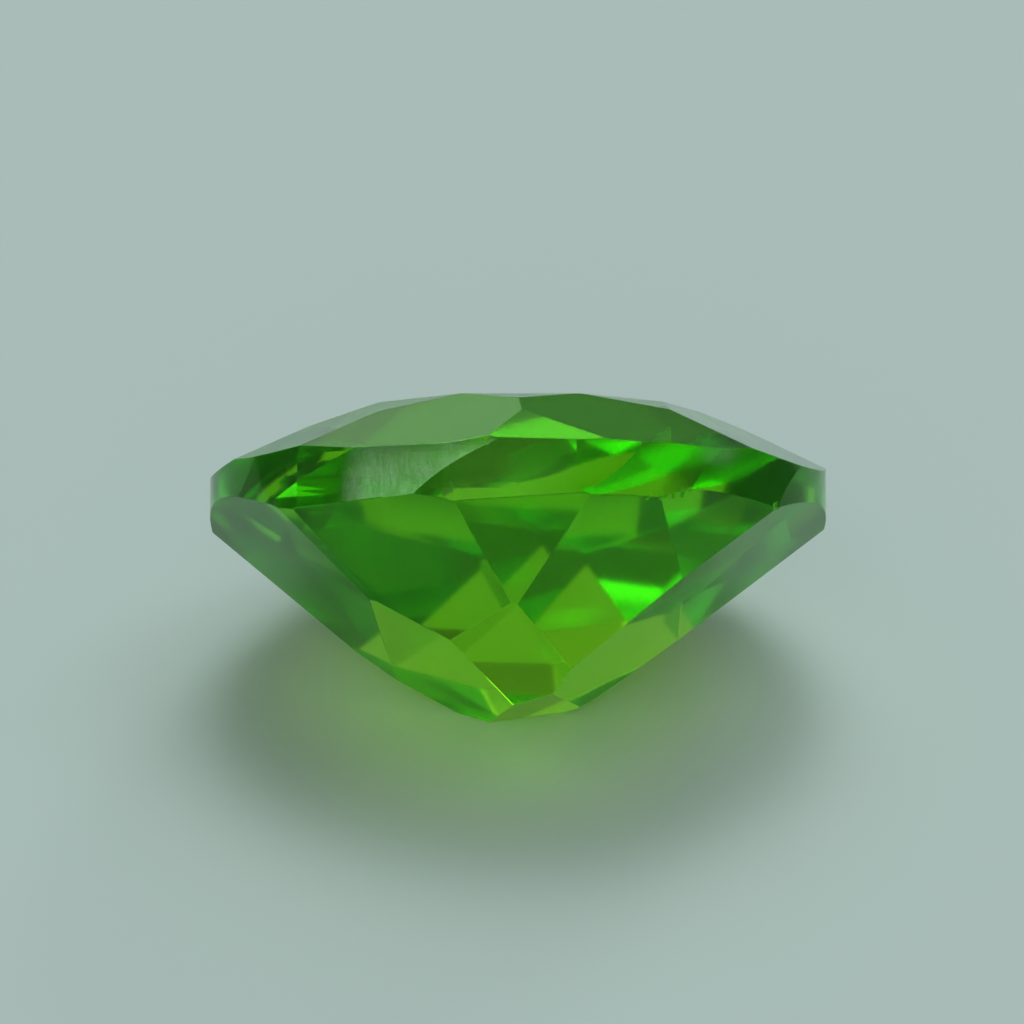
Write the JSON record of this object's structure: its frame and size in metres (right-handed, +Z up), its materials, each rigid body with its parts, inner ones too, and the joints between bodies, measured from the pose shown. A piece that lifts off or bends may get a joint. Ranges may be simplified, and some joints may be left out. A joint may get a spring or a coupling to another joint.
{
  "type": "oval-cut peridot",
  "caption": "Transparent green oval faceted gemstone with a flat table, a thick girdle and a pointed pavilion, lying tilted on a pavilion facet.",
  "frame": {"origin": "on the resting surface, under the middle of the stone's bounding box", "axes": "+X along the oval, +Z up from the surface, -Y towards the low front side of the pavilion, with the table facing up and back"},
  "size_m": [0.012, 0.0086, 0.0073],
  "materials": {
    "peridot": "clear yellow-green crystal with polished facets and a small frosted patch on the girdle"
  },
  "bodies": {
    "root": {"peridot": "peridot"}
  },
  "joints": []
}
